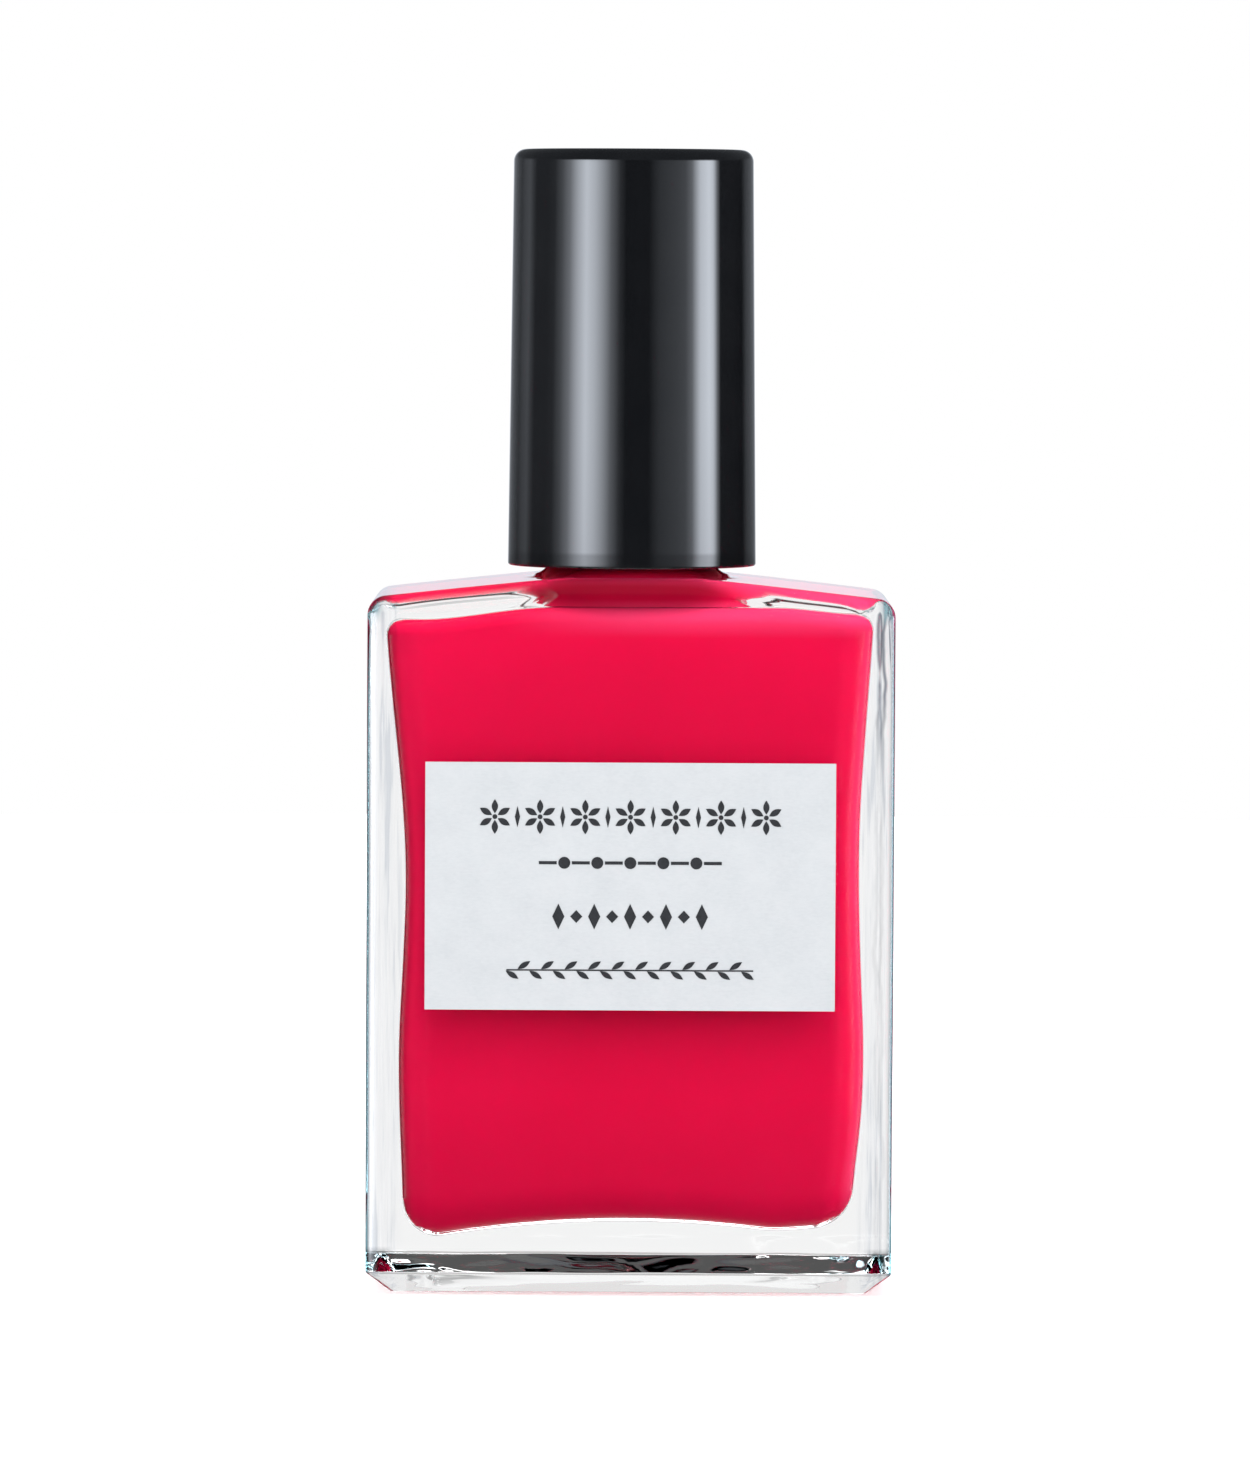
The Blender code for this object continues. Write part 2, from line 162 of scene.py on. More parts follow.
def skin(name, rings, materials, slots=None, close_start=True, close_end=True, loop=False):
    """A mesh of quads between neighbouring rings. slots gives each band's material number."""
    count = len(rings[0])
    points = np.vstack(rings) * MM
    faces = []
    numbers = []
    bands = len(rings) if loop else len(rings) - 1
    for k in range(bands):
        start = k * count
        after = ((k + 1) % len(rings)) * count
        for i in range(count):
            j = (i + 1) % count
            faces.append((start + i, start + j, after + j, after + i))
            numbers.append(slots[k] if slots else 0)
    verts = [tuple(p) for p in points]
    if close_start and not loop:
        verts.append(tuple(rings[0].mean(axis=0) * MM))
        tip = len(verts) - 1
        for i in range(count):
            faces.append(((i + 1) % count, i, tip))
            numbers.append(slots[0] if slots else 0)
    if close_end and not loop:
        verts.append(tuple(rings[-1].mean(axis=0) * MM))
        tip = len(verts) - 1
        last = (len(rings) - 1) * count
        for i in range(count):
            faces.append((last + i, last + (i + 1) % count, tip))
            numbers.append(slots[-1] if slots else 0)
    mesh = bpy.data.meshes.new(name)
    mesh.from_pydata(verts, [], faces)
    mesh.update()
    for material in materials:
        mesh.materials.append(material)
    mesh.polygons.foreach_set("material_index", numbers)
    turn_outwards(mesh)
    mesh.shade_smooth()
    return mesh


def add_object(name, mesh):
    made = bpy.data.objects.new(name, mesh)
    bpy.context.scene.collection.objects.link(made)
    return made


def add_piece(name, mesh, body, slot, *nodes):
    piece = add_object(name, mesh)
    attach(piece, body)
    if nodes:
        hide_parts(*nodes)
    return piece


def arc(middle, radius, start, end, steps):
    """Points round an arc in a (radius, height) profile, with its angles in degrees."""
    angles = np.radians(np.linspace(start, end, steps + 1))
    return [(middle[0] + radius * math.cos(t), middle[1] + radius * math.sin(t)) for t in angles]


def ripple(points, scale, seed):
    """Smooth noise in -1..1 at each point, with its own scale along X, Y and Z."""
    offset = Vector((seed * 7.3, seed * 3.1, seed * 5.7))
    return np.array([noise.noise(Vector(p * scale) + offset) for p in points])


# Materials

def new_material(name):
    made = bpy.data.materials.new(name)
    made.use_nodes = True
    tree = made.node_tree
    return made, tree, tree.nodes["Principled BSDF"]


def node(tree, kind, **settings):
    made = tree.nodes.new(kind)
    for key, value in settings.items():
        setattr(made, key, value)
    return made


def link(tree, a, b):
    tree.links.new(a, b)


def feed(tree, value, socket):
    """Gives a socket a constant, or links it to another node's output."""
    if isinstance(value, bpy.types.NodeSocket):
        link(tree, value, socket)
    else:
        socket.default_value = value


def object_coords(tree, scale=(1, 1, 1)):
    coords = node(tree, "ShaderNodeTexCoord")
    mapping = node(tree, "ShaderNodeMapping")
    mapping.inputs["Scale"].default_value = scale
    link(tree, coords.outputs["Object"], mapping.inputs["Vector"])
    return mapping.outputs["Vector"]


def noise_value(tree, vector, scale, detail=2.0, roughness=0.5):
    made = node(tree, "ShaderNodeTexNoise")
    made.inputs["Scale"].default_value = scale
    made.inputs["Detail"].default_value = detail
    made.inputs["Roughness"].default_value = roughness
    link(tree, vector, made.inputs["Vector"])
    return made.outputs["Fac"]


def ramp(tree, value, stops):
    made = node(tree, "ShaderNodeValToRGB")
    band = made.color_ramp
    while len(band.elements) < len(stops):
        band.elements.new(0.5)
    for element, (place, colour) in zip(band.elements, stops):
        element.position = place
        element.color = (*colour, 1.0)
    link(tree, value, made.inputs["Fac"])
    return made.outputs["Color"]


def map_range(tree, value, low, high, out_low, out_high):
    made = node(tree, "ShaderNodeMapRange")
    for key, number in (("From Min", low), ("From Max", high), ("To Min", out_low), ("To Max", out_high)):
        made.inputs[key].default_value = number
    link(tree, value, made.inputs["Value"])
    return made.outputs["Result"]


def over_mm(tree, place, low, high, first=0.0, last=1.0):
    """Goes from first to last while a coordinate goes from low to high, in millimetres."""
    return map_range(tree, place, low * MM, high * MM, first, last)


def bump(tree, height, strength, distance, shader):
    made = node(tree, "ShaderNodeBump")
    made.inputs["Strength"].default_value = strength
    made.inputs["Distance"].default_value = distance
    link(tree, height, made.inputs["Height"])
    link(tree, made.outputs["Normal"], shader.inputs["Normal"])


def speckled(name, dark, light, scale, roughness, metallic=0.0, specular=0.5, bump_distance=0.00002,
             bump_strength=0.2, stretch=(1, 1, 1), detail=4.0):
    """A base colour and roughness that vary with fine noise, over a fine bump."""
    made, tree, shader = new_material(name)
    vector = object_coords(tree, stretch)
    grain = noise_value(tree, vector, scale, detail)
    link(tree, ramp(tree, grain, ((0.3, dark), (0.7, light))), shader.inputs["Base Color"])
    link(tree, map_range(tree, grain, 0.3, 0.7, roughness[0], roughness[1]), shader.inputs["Roughness"])
    shader.inputs["Metallic"].default_value = metallic
    shader.inputs["Specular IOR Level"].default_value = specular
    bump(tree, grain, bump_strength, bump_distance, shader)
    return made


def blended(tree, factor, a, b):
    """Colour a where the factor is 0 and colour b where it is 1."""
    made = node(tree, "ShaderNodeMix", data_type="RGBA")
    link(tree, factor, made.inputs["Factor"])
    feed(tree, a, made.inputs[6])
    feed(tree, b, made.inputs[7])
    return made.outputs[2]


def combined(tree, operation, a, b):
    """A maths node on two values, the second of which may be a number."""
    made = node(tree, "ShaderNodeMath", operation=operation)
    link(tree, a, made.inputs[0])
    feed(tree, b, made.inputs[1])
    return made.outputs[0]


def product(tree, first, *factors):
    for factor in factors:
        first = combined(tree, "MULTIPLY", first, factor)
    return first


def absolute(tree, value):
    return combined(tree, "ABSOLUTE", value, 0.0)


def scaled(tree, colour, factor):
    """A colour times a value or a number."""
    made = node(tree, "ShaderNodeVectorMath", operation="SCALE")
    link(tree, colour, made.inputs[0])
    feed(tree, factor, made.inputs["Scale"])
    return made.outputs[0]


def xyz(tree, vector):
    split = node(tree, "ShaderNodeSeparateXYZ")
    link(tree, vector, split.inputs[0])
    return split.outputs["X"], split.outputs["Y"], split.outputs["Z"]


def glass_material(name, ior, tint, with_wall_shade=False):
    """Clear glass, clouded a very little; glass given painted wall shade also has painted streaks, dark edges
    and dark blotches in its walls.
    """
    made, tree, shader = new_material(name)
    cloud = noise_value(tree, object_coords(tree, (1, 1, 0.35)), 160.0, 2.0)
    light = tuple(min(1.0, c + 0.004) for c in tint)
    colour = ramp(tree, cloud, ((0.35, tint), (0.65, light)))
    if with_wall_shade:
        colour = painted_wall_shade(tree, colour)
    link(tree, colour, shader.inputs["Base Color"])
    shader.inputs["Transmission Weight"].default_value = 1.0
    shader.inputs["Roughness"].default_value = 0.0
    shader.inputs["IOR"].default_value = ior
    bump(tree, cloud, 0.05, 0.00003, shader)
    return made


def painted_wall_shade(tree, plain):
    """Painted shade in the glass, standing in for dark refractions: grey streaks down the side walls, a dark
    wavy line in the right-hand one, dark upright edges, shoulder ends and foot corners.
    """
    x, y, height = xyz(tree, object_coords(tree))
    across = absolute(tree, x)
    # painted grey streaks, standing in for dark refractions
    streak = noise_value(tree, object_coords(tree, (1.0, 1.0, 0.045)), 1500.0, 3.0, 0.6)
    greys = (
        (0.36, (0.60, 0.64, 0.70)), (0.43, (0.90, 0.915, 0.935)), (0.52, (0.985, 0.99, 1.0)),
        (0.60, (0.93, 0.935, 0.95)), (0.68, (1.0, 1.0, 1.0)),
    )
    shown = blended(tree, over_mm(tree, across, 15.9, 16.7), plain, ramp(tree, streak, greys))
    # a painted dark wavy line, strongest near the shoulder
    line_x, sway = 17.55, 0.75
    wave = noise_value(tree, object_coords(tree, (0.0, 0.0, 1.0)), 150.0, 3.0)
    place = combined(tree, "ADD", x, map_range(tree, wave, 0.0, 1.0, -sway * MM, sway * MM))
    off = absolute(tree, combined(tree, "SUBTRACT", place, line_x * MM))
    high_up = over_mm(tree, height, 36.0, 42.0, 0.25, 1.0)
    line = product(tree, over_mm(tree, off, 0.05, 0.20, 1.0, 0.0), high_up)
    shown = blended(tree, line, shown, (0.10, 0.11, 0.14, 1.0))
    # painted shade on the upright edges, and on the two ends of the shoulder
    at_face = over_mm(tree, absolute(tree, y), 9.10, 9.45, 0.0, 0.97)
    edge = product(tree, over_mm(tree, across, 18.00, 18.25), at_face)
    shown = blended(tree, edge, shown, (0.03, 0.15, 0.21, 1.0))
    end = product(tree, over_mm(tree, across, 17.1, 17.7), over_mm(tree, height, 46.8, 47.8, 0.0, 0.93))
    shown = blended(tree, end, shown, (0.10, 0.27, 0.33, 1.0))
    # painted nearly black shade in the front wall's foot corners
    grain = noise_value(tree, object_coords(tree, (1.0, 1.0, 0.5)), 900.0, 2.0)
    shade_blotch = product(
        tree,
        map_range(tree, grain, 0.42, 0.56, 0.90, 1.0),
        over_mm(tree, across, 16.3, 17.1),
        over_mm(tree, height, 2.9, 3.4, 1.0, 0.0),
        over_mm(tree, height, 1.5, 1.7, 0.2, 1.0),
        over_mm(tree, y, -9.6, -9.2, 1.0, 0.0),
    )
    return blended(tree, shade_blotch, shown, (0.006, 0.03, 0.04, 1.0))


# the bottle's glass carries the painted wall shade
GLASS = glass_material("clear_flint_glass", 1.51, (0.980, 0.985, 0.985), with_wall_shade=True)
WET_GLASS = glass_material("wetted_glass_face", 1.075, (0.99, 0.99, 0.99))
WET_TURN = glass_material("wetted_glass_turn", 1.02, (0.99, 0.99, 0.99))


def edge_gap(tree, height, x, widths):
    """How far a point lies inside the cavity's upright edge, where x is measured towards that edge."""
    top, reach = 50.0, 20.0  # what the ramp's ends stand for, in millimetres
    stops = [(z / top, (width / reach,) * 3) for z, width in zip(WAIST_HEIGHTS, widths)]
    share = ramp(tree, over_mm(tree, height, 0.0, top), stops)
    return combined(tree, "SUBTRACT", map_range(tree, share, 0.0, 1.0, 0.0, reach * MM), x)


def lacquer_material():
    """A cream lacquer with painted shade low down, in the neck and at the left, and a painted highlight along
    the top and at the right.
    """
    made, tree, shader = new_material("crimson_cream_lacquer")
    vector = object_coords(tree)
    cloud = noise_value(tree, vector, 90.0, 2.0)
    colour = ramp(tree, cloud, ((0.3, (0.855, 0.0050, 0.063)), (0.7, (0.875, 0.0060, 0.068))))
    x, _, height = xyz(tree, vector)
    left = edge_gap(tree, height, combined(tree, "MULTIPLY", x, -1.0), WAIST_LEFT)
    right = edge_gap(tree, height, x, WAIST_RIGHT)
    # painted highlight: a paler pink along the top edge and down the right-hand edge
    top = product(
        tree, over_mm(tree, height, 45.9, 47.2), over_mm(tree, height, 47.9, 48.5, 1.0, 0.0),
        over_mm(tree, x, -9.0, 0.0),
    )
    painted_highlight = combined(tree, "MAXIMUM", top, over_mm(tree, right, 0.15, 1.0, 0.75, 0.0))
    colour = blended(tree, painted_highlight, colour, (1.0, 0.048, 0.165, 1.0))
    # painted shade: darker low down, in the neck under the cap and along the left-hand edge
    painted_low_shade = over_mm(tree, height, 4.2, 14.0, 0.74, 1.0)
    painted_neck_shade = over_mm(tree, height, 48.7, 50.1, 1.0, 0.16)
    painted_left_shade = over_mm(tree, left, 0.05, 0.8, 0.55, 1.0)
    colour = scaled(tree, colour, product(tree, painted_low_shade, painted_neck_shade, painted_left_shade))
    link(tree, colour, shader.inputs["Base Color"])
    link(tree, map_range(tree, cloud, 0.3, 0.7, 0.20, 0.26), shader.inputs["Roughness"])
    shader.inputs["Specular IOR Level"].default_value = 0.02
    bump(tree, cloud, 0.05, 0.00001, shader)
    return made


LACQUER = lacquer_material()
CAP_BLACK = speckled(
    "gloss_black_moulding", (0.0050, 0.0056, 0.0068), (0.0066, 0.0072, 0.0085), 300.0, (0.035, 0.055),
    bump_distance=0.000004, bump_strength=0.10,
)
CLOSURE = speckled(
    "natural_polypropylene", (0.70, 0.70, 0.67), (0.80, 0.80, 0.78), 900.0, (0.38, 0.52),
    bump_distance=0.00003, bump_strength=0.3,
)
FOAM = speckled(
    "expanded_liner_foam", (0.74, 0.74, 0.71), (0.90, 0.90, 0.88), 5000.0, (0.6, 0.8),
    bump_distance=0.00006, bump_strength=0.7,
)
STEEL = speckled(
    "polished_steel", (0.52, 0.53, 0.55), (0.68, 0.69, 0.71), 1500.0, (0.10, 0.20), metallic=1.0,
    bump_distance=0.000005, bump_strength=0.15,
)
INK = speckled(
    "black_print_ink", (0.012, 0.013, 0.016), (0.026, 0.028, 0.034), 9000.0, (0.45, 0.65),
    bump_distance=0.000006, bump_strength=0.3,
)


def paper_material():
    made, tree, shader = new_material("laid_label_paper")
    fibre = noise_value(tree, object_coords(tree, (1.0, 1.0, 3.0)), 2600.0, 6.0, 0.65)
    cloud = noise_value(tree, object_coords(tree), 450.0, 3.0)
    pulp = combined(tree, "ADD", product(tree, fibre, 0.6), product(tree, cloud, 0.4))
    stops = ((0.30, (0.494, 0.520, 0.544)), (0.50, (0.534, 0.558, 0.580)), (0.68, (0.562, 0.584, 0.604)))
    link(tree, ramp(tree, pulp, stops), shader.inputs["Base Color"])
    link(tree, map_range(tree, fibre, 0.3, 0.7, 0.62, 0.80), shader.inputs["Roughness"])
    shader.inputs["Specular IOR Level"].default_value = 0.25
    bump(tree, pulp, 0.35, 0.00002, shader)
    return made


def coated_material(name, bare, coat, foot, top, roughness):
    """A brush part, wet with lacquer below a ragged line. It stands from foot to top, in millimetres."""
    made, tree, shader = new_material(name)
    vector = object_coords(tree)
    grain = noise_value(tree, vector, 700.0, 3.0)
    _, _, height = xyz(tree, vector)
    ragged = combined(tree, "ADD", product(tree, grain, 0.35), over_mm(tree, height, foot, top))
    dark = tuple(c * 0.8 for c in coat)
    stops = ((0.0, dark), (0.55, coat), (0.72, coat), (0.80, bare), (1.0, bare))
    link(tree, ramp(tree, ragged, stops), shader.inputs["Base Color"])
    link(tree, map_range(tree, ragged, 0.6, 0.85, 0.12, roughness), shader.inputs["Roughness"])
    bump(tree, grain, 0.25, 0.00003, shader)
    return made


PAPER = paper_material()
STEM = coated_material(
    "black_polyethylene_stem", (0.012, 0.012, 0.014), (0.62, 0.006, 0.050), stem_low[2], 60.0, 0.34
)
BRISTLE = coated_material(
    "nylon_filament", (0.05, 0.03, 0.03), (0.66, 0.006, 0.055), tuft_low[2], 46.0, 0.40
)


# Glass bottle: one skin from the underside, over the lip, down the bore and the cavity

def shoulder_drop(x):
    """How far the shoulder falls below its level middle."""
    level = 4.5
    left_drop, right_drop = 1.43, 1.49
    along = np.clip((np.abs(x) - level) / (BODY_A - level), 0.0, 1.0)
    return np.where(x < 0, left_drop, right_drop) * along ** 1.1


def roof_drop(x):
    """How far the cavity's roof falls from its middle: less on the right-hand side than on the left."""
    left_drop, right_drop = 0.90, 0.46
    return np.where(x < 0, left_drop * smoothstep(5.0, 14.0, -x), right_drop * smoothstep(9.5, 15.5, x))


def cavity_half_width(z):
    """The cavity's half-width: a waist at the middle, a belly below it and a flare towards the shoulder."""
    return np.interp(z, WAIST_HEIGHTS, WAIST_LEFT), np.interp(z, WAIST_HEIGHTS, WAIST_RIGHT)


def apply_cavity_shape(ring, inset):
    """Widens a ring to the cavity's own outline at its height, and adds the glass's slow waves."""
    points = ring.copy()
    smooth = [np.array(cavity_half_width(points[:, 2] + d)) for d in (-2.0, -1.0, 0.0, 1.0, 2.0)]
    left, right = sum(smooth) / len(smooth)
    half = np.where(points[:, 0] < 0, left, right) - inset
    nominal = CAVITY_A - inset
    points[:, 0] *= half / nominal
    wave = ripple(ring, (0.10, 0.10, 0.05), 1.0) * 0.10 + ripple(ring, (0.5, 0.5, 0.06), 2.0) * 0.03
    side = smoothstep(10.0, 15.0, np.abs(points[:, 0]))
    points[:, 0] += np.sign(points[:, 0]) * wave * side
    points[:, 1] += np.sign(points[:, 1]) * wave * 0.4 * (1 - side)
    return points


def bore_rings(high, low, inset, steps):
    return [round_ring(BORE_R - inset, z) for z in np.linspace(high, low, steps)]


def cavity_rings(inset):
    """From the bore's foot, over the cavity's roof and down its walls, to its floor; with each ring's kind."""
    floor_arch = 0.95  # how much lower the floor's ends lie than its middle
    fuller_foot = 0.9
    steep = math.radians(50)
    rings = []
    a, b = CAVITY_A - inset, CAVITY_B - inset
    roof = CAVITY_TOP - inset
    start = BORE_R - inset
    edge = box_ring(a - CAVITY_TOP_EDGE, b - CAVITY_TOP_EDGE, CAVITY_CORNER - 0.8, roof)
    angles = np.arctan2(edge[:, 1], edge[:, 0])
    reach = np.hypot(edge[:, 0], edge[:, 1])
    for t in np.linspace(0, 1, 27)[1:]:
        radius = start + (reach - start) * t ** 1.4
        flat = np.column_stack((np.cos(angles) * radius, np.sin(angles) * radius))
        circle = round_ring(1.0, 0.0)[:, :2] * radius[:, None]
        blend = smoothstep(0.0, 0.5, t)
        flat = circle * (1 - blend) + flat * blend
        funnel = FUNNEL_R - FUNNEL_LEAN * smoothstep(0.3, 0.9, -np.cos(angles))
        away = np.clip((radius - start) / (np.minimum(reach, funnel) - start), 0.0, 1.0)
        rise = CAVITY_FILLET * (1 - away) ** 1.6
        rings.append(("roof", np.column_stack((flat, roof + rise))))
    for angle in np.radians(np.linspace(0, 90, 9)[1:]):
        cut = CAVITY_TOP_EDGE * (1 - math.sin(angle))
        z = roof - CAVITY_TOP_EDGE * (1 - math.cos(angle))
        rings.append(("roof", box_ring(a - cut, b - cut, CAVITY_CORNER - 0.6 * cut, z)))
    floor = CAVITY_FLOOR + inset
    for z in np.linspace(roof - CAVITY_TOP_EDGE, floor + CAVITY_FLOOR_EDGE, 64)[1:]:
        rings.append(("wall", box_ring(a, b, CAVITY_CORNER, z)))
    for angle in np.radians(np.linspace(0, 90, 11)[1:]):
        cut = CAVITY_FLOOR_EDGE * (1 - math.cos(angle))
        z = floor + CAVITY_FLOOR_EDGE * (1 - math.sin(angle))
        kind = "turn" if angle < steep else "floor"
        rings.append((kind, box_ring(a - cut, b - cut, CAVITY_CORNER - 0.6 * cut, z)))
    last = box_ring(a - CAVITY_FLOOR_EDGE, b - CAVITY_FLOOR_EDGE, CAVITY_CORNER - 1.5, floor)
    for t in np.linspace(1, 0.04, 14)[1:]:
        rings.append(("floor", last * (t, t, 1)))
    shaped = []
    for kind, ring in rings:
        points = ring.copy()
        rise = smoothstep(20.0, roof - CAVITY_TOP_EDGE, ring[:, 2])
        fade = smoothstep(BORE_R + 0.5, BORE_R + 3.0, np.hypot(ring[:, 0], ring[:, 1]))
        points[:, 2] -= roof_drop(ring[:, 0]) * rise * fade
        sink = 1 - smoothstep(floor + 0.5, 14.0, ring[:, 2])
        points[:, 2] -= floor_arch * np.clip((ring[:, 0] / 12.5) ** 2, 0, 1.2) * sink
        # in the right-hand foot corner the glass is fuller than in the left one
        low = 1 - smoothstep(6.0, 11.0, ring[:, 2])
        points[:, 2] += fuller_foot * smoothstep(9.5, 15.5, ring[:, 0]) * low
        shaped.append(apply_cavity_shape(points, inset))
    return shaped, [kind for kind, _ in rings]


def heel_profile():
    """The heel as (distance in from the wall, height), from the land up: a small arc, a flat, a small arc."""
    slope = math.radians(HEEL_SLOPE)
    flat = (HEEL - HEEL_FOOT_R * (1 - math.sin(slope)) - HEEL_TOP_R * math.sin(slope)) / math.cos(slope)
    depth = HEEL_FOOT_R * math.cos(slope) + flat * math.sin(slope) + HEEL_TOP_R * (1 - math.cos(slope))
    points = []
    for turn in np.linspace(math.pi / 2, slope, 5):
        points.append((depth - HEEL_FOOT_R * math.cos(turn), HEEL_FOOT_R * (1 - math.sin(turn))))
    foot = points[-1]
    for t in np.linspace(0, flat, 12)[1:]:
        points.append((foot[0] - t * math.sin(slope), foot[1] + t * math.cos(slope)))
    for turn in np.linspace(slope, 0, 8)[1:]:
        points.append((HEEL_TOP_R * (1 - math.cos(turn)), HEEL - HEEL_TOP_R * math.sin(turn)))
    return points


def wall_ring(cut, z):
    """A ring of the body's wall, drawn in by cut."""
    return box_ring(BODY_A - cut, BODY_B - cut, max(OUTER_CORNER - 0.3 * cut, 0.5), z, CORNER_SQUASH)


def body_rings():
    """The outside of the body, from the underside's dish to the neck's root."""
    dish_wall, dish_corner = 0.5, 2.5
    stipple_height, wave_depth, streak_depth = 0.05, 0.05, 0.040
    heel = heel_profile()
    rings = []
    for t in np.linspace(0.06, 1, 9):
        rings.append(box_ring(DISH_A * t, DISH_B * t, dish_corner * t, DISH_DEPTH + 0.15 * (1 - t)))
    for t in np.linspace(0, 1, 5)[1:]:
        a, b = DISH_A + dish_wall * t, DISH_B + dish_wall * t
        rings.append(box_ring(a, b, dish_corner, DISH_DEPTH * (1 - t)))
    land_a, land_b = BODY_A - heel[0][0], BODY_B - heel[0][0]
    for t in np.linspace(0, 1, 9)[1:]:
        a = DISH_A + dish_wall + (land_a - DISH_A - dish_wall) * t
        b = DISH_B + dish_wall + (land_b - DISH_B - dish_wall) * t
        rings.append(box_ring(a, b, dish_corner - 1.9 * t, 0.0))
    stipple_to = len(rings)
    for cut, z in heel[1:]:
        rings.append(wall_ring(cut, z))
    edge_foot = SHOULDER_TOP - SHOULDER_EDGE
    for z in np.linspace(HEEL, edge_foot, 50)[1:]:
        rings.append(wall_ring(0.0, z))
    for angle in np.radians(np.linspace(0, 90, 11)[1:]):
        cut = SHOULDER_EDGE * (1 - math.cos(angle))
        z = edge_foot + SHOULDER_EDGE * math.sin(angle)
        rings.append(wall_ring(cut, z))
    rim = rings[-1]
    neck_foot = round_ring(NECK_R + NECK_FILLET, SHOULDER_TOP)
    for t in np.linspace(0, 1, 15)[1:]:
        rings.append(rim * (1 - t) + neck_foot * t)
    for k, ring in enumerate(rings):
        if k < stipple_to:
            fade = smoothstep(DISH_B - 1.0, DISH_B + 0.5, np.abs(ring[:, 1]))
            fade = np.maximum(fade, smoothstep(DISH_A - 1.0, DISH_A + 0.5, np.abs(ring[:, 0])))
            ring[:, 2] += fade * stipple_height * (1 + ripple(ring, (1.1, 1.1, 1.1), 3.0))
            continue
        z = ring[:, 2].copy()
        ring[:, 2] -= shoulder_drop(ring[:, 0]) * smoothstep(15.0, edge_foot, z)
        wave = ripple(ring, (0.35, 0.35, 0.05), 4.0) * wave_depth
        low_wave = ripple(ring, (0.45, 0.45, 0.45), 5.0) * wave_depth * (1 - smoothstep(1.0, 4.0, z))
        inward = -(np.abs(wave) + np.abs(low_wave))
        worn = smoothstep(0.1, 0.5, z) * (1 - smoothstep(HEEL - 0.3, HEEL + 0.4, z))
        streak = (ripple(ring, (0.30, 0.30, 2.6), 6.0) - 0.6) * streak_depth * worn
        ring[:, 1] += np.sign(ring[:, 1]) * streak
        side = np.abs(ring[:, 0]) > BODY_A - 1.0
        ring[:, 0] += np.where(side, np.sign(ring[:, 0]) * inward, 0.0)
        ring[:, 1] += np.where(side, 0.0, np.sign(ring[:, 1]) * inward * 0.12)
    return rings


def thread_height(z, angles, start, turns, lead, width):
    """How far a right-hand thread stands out at a height and at angles round it, as a share of its depth."""
    total = np.zeros_like(angles)
    for turn in range(-1, int(turns) + 2):
        along = turn + angles / (2 * math.pi)
        middle = start + lead * along
        fade = smoothstep(0.0, 0.12, along) * (1 - smoothstep(turns - 0.12, turns, along))
        near = np.clip(1 - np.abs(z - middle) / width, 0, 1)
        total = np.maximum(total, fade * smoothstep(0.0, 0.75, near))
    return total


def neck_rings():
    thread_depth, thread_width = 0.62, 0.72
    lip, lip_inside = 0.45, 0.35
    rings = []
    for radius, z in arc((NECK_R + NECK_FILLET, SHOULDER_TOP + NECK_FILLET), NECK_FILLET, 270, 180, 9)[1:]:
        rings.append(round_ring(radius, z))
    for z in np.linspace(SHOULDER_TOP + NECK_FILLET, NECK_THREAD_FOOT, 12)[1:]:
        rings.append(round_ring(NECK_R, z))
    for z in np.linspace(NECK_THREAD_FOOT, NECK_THREAD_TOP, 56)[1:]:
        ring = round_ring(NECK_R, z)
        angles = np.arctan2(ring[:, 1], ring[:, 0]) % (2 * math.pi)
        height = thread_height(z, angles, THREAD_START, NECK_TURNS, THREAD_LEAD, thread_width)
        raised = 1 + thread_depth / NECK_R * height
        rings.append(ring * np.column_stack((raised, raised, np.ones_like(raised))))
    for radius, z in arc((NECK_R - lip, NECK_TOP - lip), lip, 0, 90, 6)[1:]:
        rings.append(round_ring(radius, z))
    for radius, z in arc((BORE_R + lip_inside, NECK_TOP - lip_inside), lip_inside, 90, 180, 6):
        rings.append(round_ring(radius, z))
    return rings


def make_glass():
    materials = (GLASS, WET_GLASS, WET_TURN)
    dry_face, wet_face, wet_turn = range(3)
    outer = body_rings() + neck_rings()
    dry = bore_rings(NECK_TOP - 0.6, LACQUER_LEVEL, 0.0, 20)
    throat = bore_rings(LACQUER_LEVEL, CAVITY_TOP + CAVITY_FILLET, 0.0, 8)[1:]
    cavity, kinds = cavity_rings(0.0)
    rings = outer + dry + throat + cavity
    slots = [dry_face] * (len(outer) + len(dry) - 1) + [wet_turn] * len(throat)
    slots += [wet_turn if kind in ("roof", "turn") else wet_face for kind in kinds]
    mesh = skin("bottle_glass", rings, materials, slots)
    add_piece("bottle_glass", mesh, "bottle", "clear_glass", "glass_bottle")


def make_lacquer():
    inset = 0.03  # the gap to the glass
    meniscus = 0.35
    rings = []
    for t in np.linspace(0.1, 1.0, 10):
        rings.append(round_ring((BORE_R - inset) * t, LACQUER_LEVEL - meniscus * (1 - t ** 4)))
    rings += bore_rings(LACQUER_LEVEL, CAVITY_TOP + CAVITY_FILLET, inset, 8)[1:]
    rings += cavity_rings(inset)[0]
    mesh = skin("lacquer_fill", rings, (LACQUER,))
    add_piece("lacquer_fill", mesh, "bottle", "crimson_lacquer", "nail_lacquer")


# Turned pieces, and the brush's filaments

FILAMENTS = 430


def turned_rings(profile):
    return [round_ring(max(radius, 0.002), z) for radius, z in profile]


